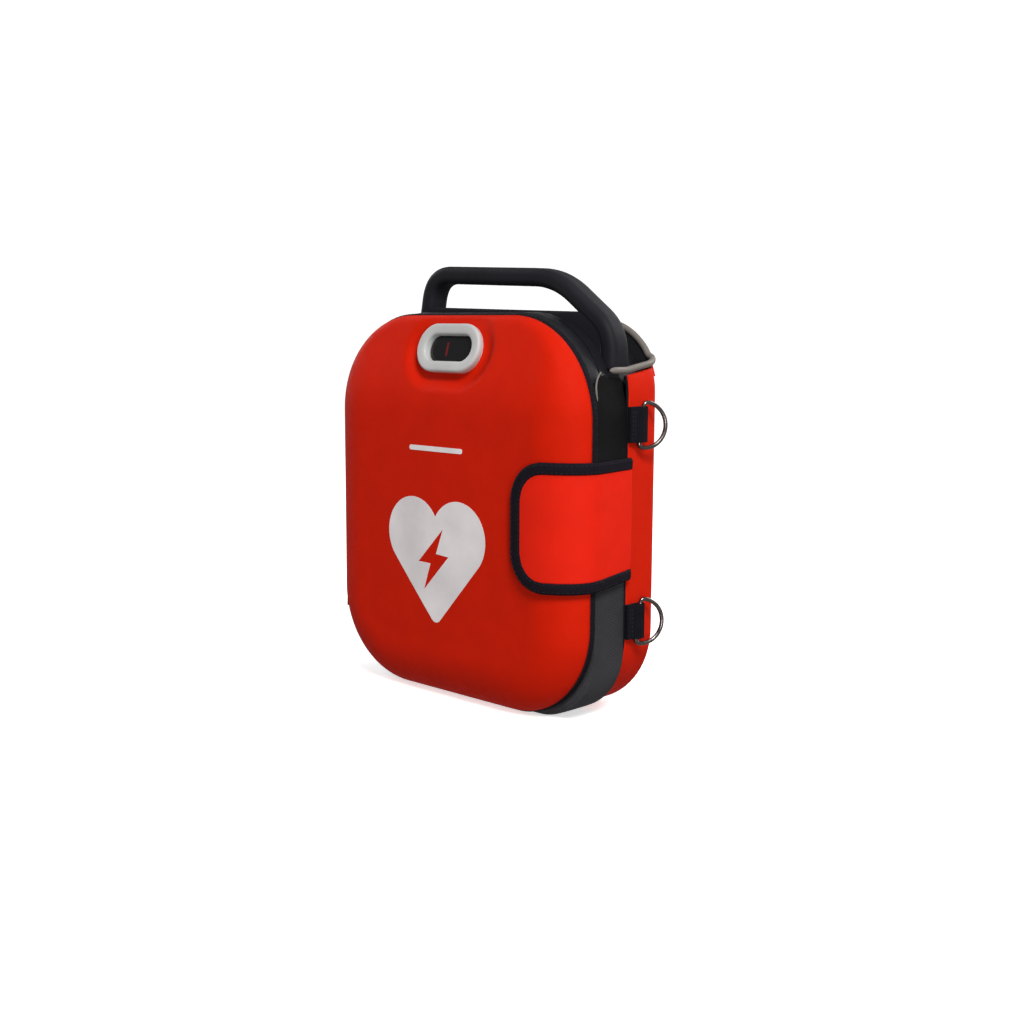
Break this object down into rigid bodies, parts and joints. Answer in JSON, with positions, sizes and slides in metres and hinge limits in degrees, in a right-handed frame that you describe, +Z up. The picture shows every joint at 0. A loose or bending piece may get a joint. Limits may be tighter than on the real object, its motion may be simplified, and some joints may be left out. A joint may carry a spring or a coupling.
{
  "type": "automated external defibrillator in carrying case",
  "caption": "Compact rescue defibrillator in a domed red carrying case with side flap, window ring, strap rings and an offset carry handle.",
  "frame": {"origin": "on the surface it stands on, under the centre of its bounding box", "axes": "+Z up, front cover faces -Y, the flap side is +X"},
  "size_m": [0.2402, 0.0874, 0.2765],
  "materials": {
    "red_shell": "moulded EVA foam faced with smooth knitted fabric",
    "red_flap": "smooth coated fabric over foam",
    "black_fabric": "folded binding tape",
    "webbing": "woven polyester webbing",
    "grey_fabric": "coated gusset fabric",
    "grey_trim": "smooth edge piping",
    "white_ring": "satin moulded plastic",
    "lens": "clear tinted window",
    "screen": "dark display glass",
    "nickel": "polished black nickel wire",
    "black_plastic": "fine textured moulded plastic",
    "soft_grip": "soft rubber",
    "hook_and_loop": "hook and loop tape",
    "panel_grey": "matt moulded plastic",
    "green": "satin button cap",
    "orange": "glossy button cap",
    "clear": "translucent light guide",
    "battery_grey": "textured moulded plastic",
    "foil": "laminated foil pouch",
    "lead_grey": "flexible cable jacket",
    "board_green": "solder resist",
    "capacitor_sleeve": "shrink sleeve",
    "copper": "enamelled copper winding",
    "aluminium": "plain extruded",
    "steel": "zinc plated"
  },
  "bodies": {
    "case": {"rear_shell": "red_shell", "gusset_band": "grey_fabric", "edge_trim": "grey_trim", "gusset_trim_left": "grey_trim", "gusset_trim_right": "grey_trim", "hinge_strip": "black_fabric", "device_rear_housing": "black_plastic", "device_front_housing": "black_plastic", "housing_gasket": "soft_grip", "handle_frame": "black_plastic", "handle_grip": "soft_grip", "control_panel": "panel_grey", "display_frame": "black_plastic", "display_module": "screen", "shock_light_ring": "clear", "speaker": "black_plastic", "battery_pack": "battery_grey", "electrode_pouch": "foil", "electrode_plug": "panel_grey", "electrode_socket": "black_plastic", "electrode_lead": "lead_grey", "main_board": "board_green", "hv_capacitor": "capacitor_sleeve", "transformer": "copper", "discharge_relay": "black_plastic", "heat_sink": "aluminium", "handle_screw_left": "steel", "handle_screw_right": "steel", "housing_screw_1": "steel", "housing_screw_2": "steel", "housing_screw_3": "steel", "housing_screw_4": "steel", "webbing_loop_upper_right": "webbing", "webbing_loop_upper_left": "webbing", "webbing_loop_lower_right": "webbing", "webbing_loop_lower_left": "webbing"},
    "cover": {"front_cover": "red_shell", "cover_binding": "black_fabric", "window_ring": "white_ring", "window_lens": "lens", "cover_loop_patch": "hook_and_loop"},
    "flap": {"flap_side_panel": "red_flap", "flap_side_binding_upper": "black_fabric", "flap_side_binding_lower": "black_fabric"},
    "flap_tip": {"flap_front_panel": "red_flap", "flap_front_binding": "black_fabric", "flap_hook_patch": "hook_and_loop"},
    "power_button": {"power_button": "green"},
    "shock_button": {"shock_button": "orange"},
    "battery_latch": {"battery_latch": "orange"},
    "ring_upper_right": {"d_ring_upper_right": "nickel"},
    "ring_upper_left": {"d_ring_upper_left": "nickel"},
    "ring_lower_right": {"d_ring_lower_right": "nickel"},
    "ring_lower_left": {"d_ring_lower_left": "nickel"}
  },
  "joints": [
    {"name": "cover_hinge", "type": "hinge", "parent": "case", "child": "cover", "pos_m": [-0.1099, -0.01585, 0.1225], "axis": [0, 0, -1], "range_deg": [0, 165]},
    {"name": "flap_hinge", "type": "hinge", "parent": "case", "child": "flap", "pos_m": [0.1104, 0.01225, 0.1215], "axis": [0, 0, 1], "range_deg": [0, 110]},
    {"name": "flap_fold", "type": "hinge", "parent": "flap", "child": "flap_tip", "pos_m": [0.11058, -0.02631, 0.1215], "axis": [0, 0, 1], "range_deg": [0, 50]},
    {"name": "power_press", "type": "slide", "parent": "case", "child": "power_button", "axis": [0, 1, 0], "range_m": [0, 0.0015], "stiffness_N_per_m": 600},
    {"name": "shock_press", "type": "slide", "parent": "case", "child": "shock_button", "axis": [0, 1, 0], "range_m": [0, 0.002], "stiffness_N_per_m": 700},
    {"name": "latch_slide", "type": "slide", "parent": "case", "child": "battery_latch", "axis": [0, 0, 1], "range_m": [0, 0.003], "stiffness_N_per_m": 300},
    {"name": "ring_upper_right_swing", "type": "hinge", "parent": "case", "child": "ring_upper_right", "pos_m": [0.112, 0.02115, 0.18], "axis": [0, -0.1736, -0.9848], "range_deg": [-23, 110]},
    {"name": "ring_upper_left_swing", "type": "hinge", "parent": "case", "child": "ring_upper_left", "pos_m": [-0.112, 0.02115, 0.18], "axis": [0, 0.1736, 0.9848], "range_deg": [-23, 110]},
    {"name": "ring_lower_right_swing", "type": "hinge", "parent": "case", "child": "ring_lower_right", "pos_m": [0.112, 0.02115, 0.0605], "axis": [0, -0.1736, -0.9848], "range_deg": [-23, 110]},
    {"name": "ring_lower_left_swing", "type": "hinge", "parent": "case", "child": "ring_lower_left", "pos_m": [-0.112, 0.02115, 0.0605], "axis": [0, 0.1736, 0.9848], "range_deg": [-23, 110]}
  ],
  "couplings": [
    {"joint": "flap_fold", "follows": "flap_hinge", "ratio": 0.4}
  ]
}
